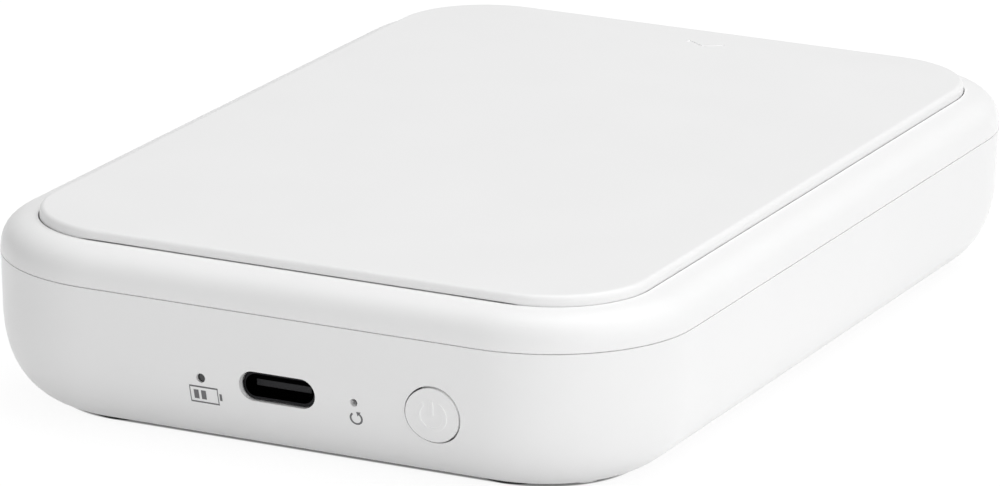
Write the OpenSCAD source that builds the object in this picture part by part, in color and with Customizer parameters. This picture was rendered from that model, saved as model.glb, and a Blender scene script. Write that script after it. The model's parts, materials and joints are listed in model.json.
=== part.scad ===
// Compact photo printer for 50 x 76 mm sheets: a rounded case with a hinged cover over the paper bay.
// X runs across the short side, Y from the port end (-Y) to the paper exit (+Y), Z up.
// The origin is at the bottom centre, on the plane that the feet stand on. Sizes are in millimetres.

/* [Body] */
// Width across the short side
body_w = 83; // [82.5:0.5:90]
// Length from the port end to the paper exit end
body_l = 121.3; // [121:0.1:128]
// Height from the table to the top of the closed cover
body_h = 22.3; // [22.2:0.1:24]
// Corner radius of the body in plan
corner_r = 17.6; // [16.5:0.1:18.5]
// Height of the seam between the two cases
seam_z = 17.2; // [17:0.1:17.4]
// Wall thickness of the cases
wall = 1.6; // [1.4:0.1:1.8]
// Floor thickness of the bottom case
floor_t = 1.4; // [1.2:0.1:1.6]
// How far the sole curves in from the wall
sole_inset = 9.9; // [8.5:0.1:10.5]
// Height over which the sole curves up into the wall
sole_rise = 12; // [11:0.5:13]
// Draft of the wall above the curve
draft = 0.2; // [0:0.05:0.3]
// Width of the rounded rim round the cover, seen from above
rim_w = 4.6; // [4.2:0.1:5]
// Diameter of the rubber feet
foot_d = 8; // [6:0.5:9]
// Height that the feet stand out of the sole
foot_h = 0.35; // [0.25:0.05:0.5]

/* [Cover] */
// Gap between the cover and the rim
cover_gap = 0.16; // [0.14:0.01:0.3]
// Radius of the cover's upper edge
cover_edge_r = 0.6; // [0.3:0.05:0.9]
// Thickness of the cover plate
cover_t = 1.6; // [1.4:0.1:1.8]
// Height that the cover stands above the rim's inner edge
cover_proud = 1.16; // [1:0.02:1.3]
// Corner radius of the rim's opening
cover_corner_r = 11.9; // [11:0.1:12.5]
// Thickness of the liner under the cover
liner_t = 0.8; // [0.6:0.1:1]
// Distance of the hinge axis under the rim, in from the opening's edge
hinge_in = 1.75; // [1.6:0.05:1.9]
// Depth of the hinge axis below the rim's inner edge
hinge_drop = 2.74; // [2.6:0.02:2.9]
// Distance of each hinge arm from the centre line
hinge_x = 24; // [22:0.5:25]
// Diameter of the hinge pins
hinge_pin_d = 1.2; // [1:0.1:1.4]
// Width of a hinge arm
arm_w = 4; // [3.5:0.1:4.5]
// Diameter of the closing magnets
magnet_d = 4; // [3:0.5:5]

/* [Paper] */
// Width of the sheets
paper_w = 50.8; // [49:0.1:51.5]
// Length of the sheets
paper_l = 76.2; // [74:0.1:77]
// Height of the paper path
paper_z = 12; // [11.8:0.1:12.2]
// Diameter of the feed roller
feed_d = 7; // [6.4:0.1:7.4]
// Diameter of the platen roller
platen_d = 8; // [7.6:0.1:8.4]
// Diameter of the exit roller
exit_d = 5; // [4.6:0.1:5.4]
// Diameter of the pinch wheels
pinch_d = 3.6; // [3.2:0.1:3.8]
// Diameter of the roller shafts
shaft_d = 2.5; // [2:0.1:2.8]
// Space between a roller and what presses on it, for one sheet
nip = 0.3; // [0.25:0.01:0.4]

/* [Drive] */
// Gear module
gear_m = 0.4; // [0.38:0.01:0.41]
// Pressure angle of the teeth
gear_pa = 25; // [22:1:26]
// Face width of the gears
gear_w = 2; // [1.6:0.1:2.2]
// Clearance taken off each tooth flank
backlash = 0.03; // [0.02:0.01:0.05]
// Motor diameter
motor_d = 8; // [7:0.5:8]
// Motor length
motor_l = 20; // [16:1:22]

/* [Electronics] */
// Height of the line of ports and holes
port_z = 8.8; // [8.6:0.1:9]
// Width of the socket shell
port_w = 8.94; // [8.8:0.01:9.1]
// Height of the socket shell
port_h = 3.16; // [3:0.02:3.2]
// Distance of the charge light and the reset hole from the centre line
hole_x = 9.35; // [8.5:0.05:10]
// Diameter of the charge light hole
charge_d = 1.1; // [1:0.1:1.6]
// Diameter of the reset hole
reset_d = 0.9; // [0.8:0.1:1.2]
// Place of the power key along the front
key_x = 18.8; // [18:0.1:19.2]
// Diameter of the power key
key_d = 6.3; // [5.8:0.1:6.6]
// Ring gap round the power key
key_gap = 0.2; // [0.15:0.05:0.3]
// Travel of the power key
key_travel = 0.3; // [0.2:0.05:0.35]
// Travel of the reset plunger
reset_travel = 0.25; // [0.2:0.05:0.3]
// Thickness of the main board
board_t = 1; // [0.8:0.1:1.2]
// Battery width
battery_w = 48; // [40:1:49]
// Battery length
battery_l = 47; // [40:1:48]
// Battery thickness
battery_t = 4.8; // [4:0.1:5]

/* [Hidden] */
$fn = 48;

// Colours
white = [0.95, 0.95, 0.95];
inner_grey = [0.78, 0.79, 0.8];
black = [0.09, 0.09, 0.1];
steel = [0.7, 0.71, 0.73];
rubber = [0.14, 0.14, 0.15];
gear_white = [0.9, 0.88, 0.8];
board_green = [0.07, 0.3, 0.2];

// Exponents of the sole's and the rim's curves
sole_e = 2 / 2.4;
rim_e = 2 / 2.5;
curve_steps = 12;
running = 0.05;
seam_gap = 0.12;
seam_depth = 0.45;

// Levels
hw = body_w / 2;
hl = body_l / 2;
floor_z = foot_h + floor_t;
rim_z = body_h - cover_proud;
cover_under = body_h - cover_t;
shelf_z = cover_under - liner_t;
deck_t = 1.3;
deck_top = shelf_z - 1.2;
deck_under = deck_top - deck_t;
shelf_w = 1.5;
tray_z = paper_z - 0.2;
tray_t = 1;
board_top = port_z - port_h / 2 - 0.02;
board_under = board_top - board_t;

// Hinge axis, and the ring that its arms curve round the rim's edge
hinge_y = -hl + rim_w - hinge_in;
hinge_z = rim_z - hinge_drop;
arm_r = norm([hinge_in, hinge_drop]) + 0.35;
arm_t = 1.2;
ear_t = 2;
pin_reach = arm_w / 2 + 0.15 + ear_t;
notch_w = 2 * pin_reach + 0.9;

// The print mechanism is placed from the paper exit end
exit_y = hl - 8.45;
platen_y = exit_y - 8.7;
motor_y = platen_y - 10.5;
feed_y = platen_y - 21.5;
feed_z = paper_z - feed_d / 2;
platen_z = paper_z - platen_d / 2;
exit_z = paper_z - exit_d / 2;
motor_z = floor_z + 0.45 + motor_d / 2;
pinch_z = paper_z + nip + pinch_d / 2;
bay_w = paper_w + 1;
head_room = 9.5;
bay_y1 = platen_y - head_room;
bay_y0 = bay_y1 - paper_l - 1.6;
rail_t = 1.2;
frame_x = 28.6;
frame_t = 1.2;
frame_y0 = feed_y - 6;
frame_y1 = exit_y + 2.9;
gear_x = frame_x + frame_t + 0.8;
gear_x2 = gear_x + gear_w + 0.6;
bridge_z = deck_under - 0.9;
head_z = paper_z + nip;
head_pivot = [platen_y - 5.3, head_z + 2.7];
front_screw = [31, -hl + 12.15];
mid_screw = [32.4, 2];
boss_r = 2.2;
screw_seat = 7.5;
foot_x = 24;
foot_y = hl - 10.65;
board_w = 55;
board_y0 = -hl + 3.65;
board_l = 19;
board_y1 = board_y0 + board_l;
board_corner_r = 1;
// Through cuts end past any wall at this distance from the middle
past_all = 60;
key_z = port_z - 0.05;
pad_y = -hl + 3.4;

// ---------- Outlines and helpers ----------

// Inset of the outer wall at a height below the seam
function sole_at(z) = let (c = pow(max(0, 1 - z / sole_rise), 1 / sole_e))
    z >= sole_rise ? draft : draft + sole_inset * (1 - pow(1 - c * c, sole_e / 2));

// The sole's curve, from the flat under the feet's plane up to the wall
function sole_curve() = let (t0 = acos(pow(1 - foot_h / sole_rise, 1 / sole_e)))
    [for (i = [0:curve_steps]) let (t = t0 + (90 - t0) * i / curve_steps)
        [draft + sole_inset * (1 - pow(sin(t), sole_e)), sole_rise * (1 - pow(cos(t), sole_e))]];

// The same curve inside the wall, from the top down to the floor
function inner_curve() = [for (i = [curve_steps:-1:0]) let (t = 90 * i / curve_steps)
    [draft + wall + (sole_inset - wall) * (1 - pow(sin(t), sole_e)),
        floor_z + (sole_rise - floor_z) * (1 - pow(cos(t), sole_e))]];

// The rim's curve, from the seam up to the edge of the opening
function rim_curve() = [for (i = [0:curve_steps]) let (t = 90 * i / curve_steps)
    [rim_w * (1 - pow(cos(t), rim_e)), seam_z + (rim_z - seam_z) * pow(sin(t), rim_e)]];

// Sweeps a closed outline of [inset, height] points round the body's plan
module sweep(outline) {
    cx = hw - corner_r;
    cy = hl - corner_r;
    for (s = [0, 1]) {
        mirror([s, 0, 0]) rotate([90, 0, 0])
            linear_extrude(2 * cy, center = true) polygon([for (p = outline) [hw - p[0], p[1]]]);
        mirror([0, s, 0]) rotate([90, 0, 90])
            linear_extrude(2 * cx, center = true) polygon([for (p = outline) [hl - p[0], p[1]]]);
    }
    for (sx = [0, 1], sy = [0, 1])
        mirror([sx, 0, 0]) mirror([0, sy, 0]) translate([cx, cy, 0])
            rotate_extrude(angle = 90) polygon([for (p = outline) [corner_r - p[0], p[1]]]);
}

// Rounded rectangle in plan
module rounded(w, l, r) {
    square([w - 2 * r, l], center = true);
    square([w, l - 2 * r], center = true);
    for (x = [-1, 1], y = [-1, 1])
        translate([x * (w / 2 - r), y * (l / 2 - r)]) circle(r);
}

module slab(w, l, r, z0, z1) {
    translate([0, 0, z0]) linear_extrude(z1 - z0) rounded(w, l, r);
}

// Box between two corners
module box(a, b) {
    translate(a) cube(b - a);
}

// Rod along X, rod along Y, post along Z
module rod_x(y, z, r, x0, x1) {
    translate([x0, y, z]) rotate([0, 90, 0]) cylinder(r = r, h = x1 - x0);
}

module rod_y(x, z, r, y0, y1) {
    translate([x, y0, z]) rotate([-90, 0, 0]) cylinder(r = r, h = y1 - y0);
}

module post(x, y, r, z0, z1) {
    translate([x, y, z0]) cylinder(r = r, h = z1 - z0);
}

// Slot with round ends along Y
module slot_y(x, z, w, h, y0, y1) {
    translate([x, y0, z]) rotate([-90, 0, 0]) linear_extrude(y1 - y0) union() {
        square([w - h, h], center = true);
        for (s = [-1, 1]) translate([s * (w - h) / 2, 0]) circle(h / 2);
    }
}

// Plate drawn in the plane of Y and Z, between two X places
module side_plate(x0, x1, points) {
    translate([x0, 0, 0]) rotate([90, 0, 90]) linear_extrude(x1 - x0) polygon(points);
}

module both_sides() {
    children();
    mirror([1, 0, 0]) children();
}

// Coil spring standing on z = 0, wound from a wire of the given radius
module coil(r, wire, turns, h) {
    steps = turns * 12;
    sides = 6;
    points = [for (i = [0:steps], j = [0:sides - 1])
        let (a = 360 * turns * i / steps, b = 360 * j / sides)
        [(r + wire * cos(b)) * cos(a), (r + wire * cos(b)) * sin(a),
            wire + (h - 2 * wire) * i / steps + wire * sin(b)]];
    walls = [for (i = [0:steps - 1], j = [0:sides - 1]) let (k = (j + 1) % sides)
        [i * sides + j, i * sides + k, (i + 1) * sides + k, (i + 1) * sides + j]];
    ends = [[for (j = [sides - 1:-1:0]) j], [for (j = [0:sides - 1]) steps * sides + j]];
    polyhedron(points, concat(walls, ends), convexity = 6);
}

// ---------- Gears ----------

// Roll angle that an involute turns through, in degrees, from its base circle to radius r
function roll(r, base) = let (u = sqrt(max(0, pow(r / base, 2) - 1))) u * 180 / PI - atan(u);

function polar(r, a) = [r * cos(a), r * sin(a)];

// Outline of a spur gear with a tooth centred on the first axis
function gear_outline(teeth) = let (
    pitch = gear_m * teeth / 2,
    base = pitch * cos(gear_pa),
    tip = pitch + 0.9 * gear_m,
    root = pitch - 1.2 * gear_m,
    low = max(base, root),
    half = 90 / teeth - backlash / pitch * 180 / PI + roll(pitch, base),
    steps = 3,
    side = [for (i = [0:steps]) let (r = low + (tip - low) * i / steps) [r, half - roll(r, base)]],
    tooth = concat([[root, half]], side))
    [for (k = [0:teeth - 1]) each concat(
        [for (p = tooth) polar(p[0], 360 * k / teeth - p[1])],
        [for (i = [len(tooth) - 1:-1:0]) polar(tooth[i][0], 360 * k / teeth + tooth[i][1])])];

function cd(a, b) = gear_m * (a + b) / 2;

// Centre of a gear that meshes with gears at a and b, on the left of the way from a to b
function meet(a, ra, b, rb) = let (
    d = norm(b - a), u = (b - a) / d, t = (ra * ra - rb * rb + d * d) / (2 * d),
    h = sqrt(ra * ra - t * t))
    a + t * u + h * [-u[1], u[0]];

function heading(a, b) = atan2(b[1] - a[1], b[0] - a[0]);

// Rest angle of a gear of nb teeth that a gear of na teeth at angle pa drives, seen along the line
function mesh_angle(pa, na, nb, line) = line + 180 - 180 / nb + (line - pa) * na / nb;

platen_teeth = 24;
small_teeth = 12;
large_teeth = 22;
idler_teeth = 14;
feed_teeth = 24;
exit_teeth = 14;
platen_at = [platen_y, platen_z];
motor_at = [motor_y, motor_z];
feed_at = [feed_y, feed_z];
exit_at = [exit_y, exit_z];
reduction_at = meet(motor_at, cd(small_teeth, large_teeth), platen_at, cd(small_teeth, platen_teeth));
exit_idler_at = meet(platen_at, cd(platen_teeth, small_teeth), exit_at, cd(small_teeth, exit_teeth));
idler_a_at = reduction_at + cd(small_teeth, idler_teeth) * [cos(160), sin(160)];
idler_b_at = meet(idler_a_at, cd(idler_teeth, idler_teeth), feed_at, cd(idler_teeth, feed_teeth));
reduction_turn = mesh_angle(0, platen_teeth, small_teeth, heading(platen_at, reduction_at));
pinion_turn = mesh_angle(reduction_turn, large_teeth, small_teeth, heading(reduction_at, motor_at));
exit_idler_turn = mesh_angle(0, platen_teeth, small_teeth, heading(platen_at, exit_idler_at));
exit_turn = mesh_angle(exit_idler_turn, small_teeth, exit_teeth, heading(exit_idler_at, exit_at));
idler_a_turn = mesh_angle(reduction_turn, small_teeth, idler_teeth, heading(reduction_at, idler_a_at));
idler_b_turn = mesh_angle(idler_a_turn, idler_teeth, idler_teeth, heading(idler_a_at, idler_b_at));
feed_turn = mesh_angle(idler_b_turn, idler_teeth, feed_teeth, heading(idler_b_at, feed_at));
stud_d = 1.5;

// Spur gear on an axis along X at a place [y, z]
module gear(at, teeth, turn, bore, x0 = gear_x) {
    translate([x0, at[0], at[1]]) rotate([90, 0, 90]) rotate(turn) linear_extrude(gear_w)
        difference() {
            polygon(gear_outline(teeth));
            circle(bore);
        }
}

// ---------- Case ----------

// Bottom case: one swept shell with bosses, ribs and the openings of both ends
module bottom_case() {
    color(white) difference() {
        union() {
            sweep(concat(sole_curve(),
                [[0, seam_z - seam_gap], [seam_depth, seam_z - seam_gap], [seam_depth, seam_z],
                    [wall, seam_z]],
                inner_curve(), [[corner_r, floor_z], [corner_r, foot_h]]));
            box([corner_r - hw, corner_r - hl, foot_h], [hw - corner_r, hl - corner_r, floor_z]);
            for (x = [-1, 1], p = [front_screw, mid_screw])
                post(x * p[0], p[1], boss_r, foot_h, screw_seat + 1.5);
            board_posts(board_under - 0.01);
            battery_ribs();
            key_pad();
        }
        for (x = [-1, 1], p = [front_screw, mid_screw]) {
            post(x * p[0], p[1], 1.75, -1, screw_seat);
            post(x * p[0], p[1], 0.95, 0, 12);
        }
        for (x = [-1, 1], y = [-1, 1])
            post(x * foot_x, y * foot_y, foot_d / 2 + 0.05, -1, foot_h + 0.5);
        slot_y(0, port_z, port_w + 0.36, port_h + 0.34, -hl - 1, -hl + 4);
        rod_y(-hole_x, port_z, charge_d / 2, -hl - 1, -hl + 4);
        rod_y(hole_x, port_z, reset_d / 2, -hl - 1, -hl + 4);
        rod_y(key_x, key_z, key_d / 2 + key_gap, -hl - 1, -hl + 5);
        box([-bay_w / 2 - 1, exit_y + 3, paper_z - 0.8], [bay_w / 2 + 1, hl + 1, paper_z + 1.4]);
        for (x = [-1, 1], p = board_posts_at)
            post(x * p[0], p[1], 0.5, floor_z + 1, 9);
    }
}

board_posts_at = [[board_w / 2 - 3, board_y0 + 4], [board_w / 2 - 3, board_y1 - 2.5]];

module board_posts(top) {
    for (x = [-1, 1], p = board_posts_at)
        post(x * p[0], p[1], 1.7, floor_z - 0.2, top);
}

// Ribs that pen the battery in and carry the paper tray, with windows that save plastic
rib_t = 1.2;
rib_x_min = 25.6;
window_pitch = 11;
window_l = 7;

module battery_ribs() {
    rib_x = max(battery_w / 2 + 1.6, rib_x_min);
    y0 = frame_y0 - 2.4 - battery_l;
    both_sides() difference() {
        box([rib_x, y0, floor_z - 0.2], [rib_x + rib_t, y0 + battery_l, tray_z - tray_t]);
        for (k = [0:3], y = y0 + 4 + k * window_pitch)
            box([rib_x - 1, y, floor_z + 2], [rib_x + rib_t + 1.8, y + window_l, tray_z - tray_t - 2.5]);
    }
}

// Flat pad inside the curved wall, where the power key slides
module key_pad() {
    reach = key_d / 2 + 1.6;
    box([key_x - reach, -hl + wall + 0.6, key_z - key_d / 2 - 1], [key_x + reach, pad_y, key_z + key_d / 2 + 1.2]);
}

// Top case: swept rim with its cover opening, the deck over the mechanism and the hinge ears
module top_case() {
    tongue = 0.9;
    in0 = wall + 0.1;
    color(white) difference() {
        union() {
            difference() {
                sweep(concat(rim_curve(),
                    [[rim_w + shelf_w + 1, rim_z], [rim_w + shelf_w + 1, deck_under],
                        [in0 + tongue, deck_under], [in0 + tongue, seam_z - 1],
                        [in0, seam_z - 1], [in0, seam_z]]));
                slab(body_w - 2 * rim_w, body_l - 2 * rim_w, cover_corner_r, shelf_z, body_h);
                slab(body_w - 2 * (rim_w + shelf_w), body_l - 2 * (rim_w + shelf_w),
                    cover_corner_r - shelf_w, deck_under - 1, body_h);
                for (x = [-1, 1])
                    box([x * hinge_x - notch_w / 2, -hl + wall - 0.1, seam_z - 2],
                        [x * hinge_x + notch_w / 2, -hl + rim_w + shelf_w + 0.1, shelf_z]);
            }
            deck();
            hinge_ears();
            for (x = [-1, 1], p = [front_screw, mid_screw])
                post(x * p[0], p[1], boss_r - 0.1, screw_seat + 1.55, deck_under + 0.2);
        }
        for (x = [-1, 1], p = [front_screw, mid_screw])
            post(x * p[0], p[1], 0.7, screw_seat, deck_under - 1);
        for (x = [-1, 1])
            rod_x(hinge_y, hinge_z, hinge_pin_d / 2, x * hinge_x - pin_reach, x * hinge_x + pin_reach);
    }
}

// Deck inside the rim, with the paper bay, the hinge slots and the magnet seats
module deck() {
    difference() {
        union() {
            slab(body_w - 2 * (wall + 1.4), body_l - 2 * (wall + 1.4), corner_r - wall - 1.4, deck_under, deck_top);
            for (x = [-1, 1]) post(x * magnet_x, magnet_y, magnet_d / 2 + 1, deck_under, deck_top + 0.4);
        }
        translate([0, (bay_y0 + bay_y1) / 2, 0])
            slab(bay_w + 1, bay_y1 - bay_y0 + 1, 1.5, deck_under - 1, deck_top + 1);
        for (x = [-1, 1]) {
            box([x * hinge_x - arm_w / 2 - 0.4, -hl, deck_under - 1],
                [x * hinge_x + arm_w / 2 + 0.4, hinge_y + arm_r + arm_t + 0.4, deck_top + 1]);
            post(x * magnet_x, magnet_y, magnet_d / 2, deck_top - 0.9, deck_top + 1);
        }
    }
}

magnet_x = 30.5;
magnet_y = hl - 14.6;

module hinge_ears() {
    for (x = [-1, 1], s = [-1, 1])
        translate([x * hinge_x + s * (arm_w / 2 + 0.15 + ear_t / 2), 0, 0]) union() {
            box([-ear_t / 2, hinge_y - 1.1, deck_under], [ear_t / 2, hinge_y + 1.6, hinge_z]);
            rod_x(hinge_y, hinge_z, 1.1, -ear_t / 2, ear_t / 2);
        }
}

module rubber_feet() {
    color(rubber) for (x = [-1, 1], y = [-1, 1])
        translate([x * foot_x, y * foot_y, 0]) rotate_extrude()
            polygon([[0, 0], [foot_d / 2 - 0.4, 0], [foot_d / 2 - 0.1, 0.12], [foot_d / 2, foot_h],
                [foot_d / 2, foot_h + 0.5], [0, foot_h + 0.5]]);
}

module case_screws() {
    color(steel) for (x = [-1, 1], p = [front_screw, mid_screw])
        translate([x * p[0], p[1], 0]) difference() {
            union() {
                cylinder_between(1.6, screw_seat - 1, screw_seat);
                cylinder_between(0.7, screw_seat - 0.5, screw_seat + 7);
            }
            for (a = [0, 90]) rotate(a) box([-1, -0.2, screw_seat - 2], [1, 0.2, screw_seat - 0.5]);
        }
}

module cylinder_between(r, z0, z1) {
    translate([0, 0, z0]) cylinder(r = r, h = z1 - z0);
}

// ---------- Cover ----------

// The chevron's point, and its arms
chevron_at = [1.5, hl - 12.15];
chevron_arm = 3.2;
chevron_turn = 34;
chevron_t = 0.55;
chevron_depth = 0.1;

// Cover plate with a rounded edge, a skirt that meets the shelf, and the engraved chevron
module top_cover() {
    w = body_w - 2 * (rim_w + cover_gap);
    l = body_l - 2 * (rim_w + cover_gap);
    r = cover_corner_r - cover_gap;
    low = rim_z - 0.05;
    color(white) difference() {
        union() {
            cover_edge(w, l, r, [for (i = [0:8]) let (t = 90 * i / 8)
                [cover_edge_r * (1 - cos(t)), body_h - cover_edge_r * (1 - sin(t))]], low);
            box([r - w / 2, r - l / 2, cover_under], [w / 2 - r, l / 2 - r, body_h]);
        }
        rod_x(hinge_y, hinge_z, arm_r - 0.18, -hw, hw);
        for (x = [-1, 1]) box([x * hinge_x - arm_w / 2 - 0.3, -hl, deck_top],
            [x * hinge_x + arm_w / 2 + 0.3, hinge_y + arm_r + arm_t, cover_under]);
        translate([chevron_at[0], chevron_at[1], body_h - chevron_depth])
            for (s = [0, 1]) mirror([s, 0, 0]) rotate(chevron_turn)
                translate([-chevron_t / 2, -chevron_t / 2, 0]) cube([chevron_arm, chevron_t, 1]);
    }
}

// The cover's rim, from its rounded edge in to the plate, swept round the cover's own plan
module cover_edge(w, l, r, curve, low) {
    skirt = 1.2;
    outline = concat(curve, [[r, body_h], [r, cover_under], [0.5 + skirt, cover_under],
        [0.5 + skirt, shelf_z + 0.1], [0.5, shelf_z + 0.1], [0.5, low - 0.3], [0, low]]);
    for (s = [0, 1]) {
        mirror([s, 0, 0]) rotate([90, 0, 0])
            linear_extrude(l - 2 * r, center = true) polygon([for (p = outline) [w / 2 - p[0], p[1]]]);
        mirror([0, s, 0]) rotate([90, 0, 90])
            linear_extrude(w - 2 * r, center = true) polygon([for (p = outline) [l / 2 - p[0], p[1]]]);
    }
    for (sx = [0, 1], sy = [0, 1])
        mirror([sx, 0, 0]) mirror([0, sy, 0]) translate([w / 2 - r, l / 2 - r, 0])
            rotate_extrude(angle = 90) polygon([for (p = outline) [r - p[0], p[1]]]);
}

press_y = -12;
press_z = shelf_z - 1.4;
press_w = 34;
press_reach = feed_y - press_y;
press_low = paper_z + 0.45;
press_t = 1;
press_slope = atan((press_z - press_low - press_t / 2) / press_reach);
liner_y0 = -hl + 15.2;
liner_y1 = magnet_y + 5;

// Liner with the lugs of the press plate and the magnets' cups
module cover_liner() {
    lug_x = press_w / 2 + 0.3;
    color(inner_grey) difference() {
        union() {
            translate([0, (liner_y0 + liner_y1) / 2, 0])
                slab(body_w - 2 * (rim_w + 4), liner_y1 - liner_y0, 5, shelf_z, cover_under);
            both_sides() {
                box([lug_x, press_y - 1.6, press_z], [lug_x + 1.6, press_y + 1.6, shelf_z]);
                rod_x(press_y, press_z, 1.6, lug_x, lug_x + 1.6);
            }
        }
        both_sides() rod_x(press_y, press_z, 0.7 + running, lug_x - 1, lug_x + 3);
        for (x = [-1, 1]) post(x * magnet_x, magnet_y, magnet_d / 2, shelf_z - 1, cover_under);
    }
}

// Curved arms that reach under the rim to the hinge axis
module hinge_arms() {
    out = arm_r + arm_t;
    top = cover_under - hinge_z;
    color(black) for (x = [-1, 1]) translate([x * hinge_x, hinge_y, hinge_z])
        rotate([90, 0, 90]) translate([0, 0, -arm_w / 2]) union() {
            linear_extrude(arm_w) difference() {
                union() {
                    difference() {
                        union() {
                            intersection() {
                                circle(out);
                                translate([0, -out]) square([out, out + top]);
                            }
                            translate([hinge_in + 1, top - liner_t]) square([8, liner_t]);
                        }
                        circle(arm_r);
                    }
                    circle(1.1);
                    translate([-0.6, -out]) square([1.2, out]);
                }
                circle(hinge_pin_d / 2 + running);
            }
            translate([out + 0.6, top - liner_t, -2]) difference() {
                cube([6, liner_t, arm_w + 4]);
                for (z = [1, arm_w + 3]) translate([3, 0, z]) rotate([-90, 0, 0]) cylinder(r = 0.5, h = 5, center = true);
            }
        }
}

module hinge_pins() {
    color(steel) for (x = [-1, 1])
        rod_x(hinge_y, hinge_z, hinge_pin_d / 2, x * hinge_x - pin_reach, x * hinge_x + pin_reach);
}

module cover_screws() {
    y = hinge_y + arm_r + arm_t + 3.6;
    color(steel) for (x = [-1, 1], s = [-1, 1])
        translate([x * hinge_x + s * (arm_w / 2 + 1), y, 0]) union() {
            cylinder_between(0.5, shelf_z, cover_under);
            cylinder_between(0.9, shelf_z - 0.4, shelf_z);
        }
}

module cover_magnets() {
    color(steel) for (x = [-1, 1]) post(x * magnet_x, magnet_y, magnet_d / 2, shelf_z - 0.3, cover_under);
}

module case_magnets() {
    color(steel) for (x = [-1, 1]) post(x * magnet_x, magnet_y, magnet_d / 2, deck_top - 0.9, deck_top + 0.4);
}

// Sprung plate that pushes the stack of sheets on to the feed roller
module press_plate() {
    color(inner_grey) translate([0, press_y, press_z]) rotate([-press_slope, 0, 0]) difference() {
        union() {
            box([-press_w / 2, -1, -press_t / 2], [press_w / 2, press_reach - 3, press_t / 2]);
            translate([-press_w / 2, press_reach - 3, 0]) rotate([press_slope, 0, 0])
                box([0, -0.1, -press_t / 2 - 0.1], [press_w, 8, press_t / 2 - 0.1]);
            rod_x(0, 0, 0.7, -press_w / 2 - 1.6, press_w / 2 + 1.6);
            for (x = [-11, 0, 11]) box([x - 0.4, 3, 0], [x + 0.4, press_reach - 4, press_t / 2 + 0.3]);
        }
        both_sides() box([3.5, 8, -2], [8.5, press_reach - 12, 2]);
    }
}

press_spring_at = [[-13.8, 14], [13.8, 14]];

module press_springs() {
    drop = press_z - press_t / 2 - sin(press_slope) * (press_spring_at[0][1] - press_y - 2) + press_t + 0.1;
    color(steel) for (p = press_spring_at)
        translate([p[0], p[1], drop]) coil(1.7, 0.2, 4, shelf_z - drop);
}

// ---------- Paper path ----------

// Tray with side rails, the gate wall at its end and slots for the feed tyres
module paper_tray() {
    y_mid = (bay_y0 + bay_y1) / 2;
    x1 = bay_w / 2 + rail_t;
    gate = 0.7;
    color(black) difference() {
        union() {
            box([-x1, bay_y0 - rail_t, tray_z - tray_t], [x1, bay_y1 + rail_t, tray_z]);
            both_sides() box([bay_w / 2, bay_y0 - rail_t, tray_z - 0.1], [x1, bay_y1 + rail_t, deck_under - 0.1]);
            box([-x1, bay_y0 - rail_t, tray_z - 0.1], [x1, bay_y0, deck_under - 0.1]);
            box([-x1, bay_y1, tray_z + gate], [x1, bay_y1 + rail_t, deck_under - 0.1]);
            for (k = [-4:4]) box([k * 5.6 - 0.4, bay_y0, tray_z - 0.1], [k * 5.6 + 0.4, feed_y - 8, tray_z + 0.12]);
        }
        both_sides() box([6, feed_y - 3.4, 0], [18, feed_y + 3.4, tray_z + 1]);
        box([-4, bay_y1 - 9, 0], [4, bay_y1 - 5, tray_z + 1]);
        both_sides() box([bay_w / 2 - 1, y_mid - 9, tray_z + 2.5], [x1 + 1, y_mid + 9, deck_under + 1]);
    }
}

module retard_pad() {
    color(rubber) box([-5, bay_y1 - 0.5, tray_z + 0.75], [5, bay_y1 - 0.02, tray_z + 3.2]);
}

module paper_sensor() {
    color(black) box([-3.5, bay_y1 - 8.6, tray_z - tray_t - 1.4], [3.5, bay_y1 - 5.4, tray_z - tray_t - 0.02]);
}

// Frame that carries the rollers, the head and the drive
module print_frame() {
    z0 = floor_z + 0.4;
    top = deck_under - 0.1;
    plate = [[frame_y0, z0], [frame_y1 - 6, z0], [frame_y1, z0 + 5], [frame_y1, paper_z + 4],
        [frame_y1 - 2, top], [platen_y - 12, top], [platen_y - 16, paper_z + 2], [frame_y0, paper_z - 0.5]];
    x1 = frame_x + frame_t;
    color(steel) difference() {
        union() {
            both_sides() side_plate(frame_x, x1, plate);
            box([-frame_x - 0.1, frame_y0, floor_z + 1], [frame_x + 0.1, frame_y0 + 1.2, tray_z - tray_t - 0.3]);
            box([-frame_x - 0.1, platen_y + platen_d / 2 + 0.45, z0 + 1],
                [frame_x + 0.1, platen_y + platen_d / 2 + 1.35, paper_z - 0.3]);
            box([-frame_x - 0.1, platen_y - 1, bridge_z], [frame_x + 0.1, platen_y + 6, deck_under - 0.1]);
            both_sides() box([frame_x - 4, frame_y0 + 1, floor_z + 0.02], [frame_x + 0.1, frame_y0 + 5, floor_z + 1.2]);
            both_sides() box([frame_x - 5, motor_y - 7.5, floor_z + 0.02], [frame_x + 0.1, motor_y - 4.5, floor_z + 1.2]);
        }
        for (p = [feed_at, platen_at, exit_at]) rod_x(p[0], p[1], shaft_d / 2 + 0.9, -40, 40);
        rod_x(exit_y, pinch_z, 0.75 + running, -40, 40);
        rod_x(head_pivot[0], head_pivot[1], 0.8 + running, -40, 40);
        rod_x(motor_y, motor_z, 1.5, 0, 40);
        for (p = [reduction_at, idler_a_at, idler_b_at, exit_idler_at]) rod_x(p[0], p[1], stud_d / 2, 0, 40);
        for (x = [-20, -10, 0, 10, 20]) box([x - 3, platen_y + 1, bridge_z - 1], [x + 3, platen_y + 1.8, 30]);
    }
}

module shaft_bushes() {
    color(gear_white) both_sides() for (p = [feed_at, platen_at, exit_at]) difference() {
        union() {
            rod_x(p[0], p[1], shaft_d / 2 + 0.9, frame_x, frame_x + frame_t);
            rod_x(p[0], p[1], shaft_d / 2 + 1.3, frame_x - 0.6, frame_x);
        }
        rod_x(p[0], p[1], shaft_d / 2 + running, 0, 40);
    }
}

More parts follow.
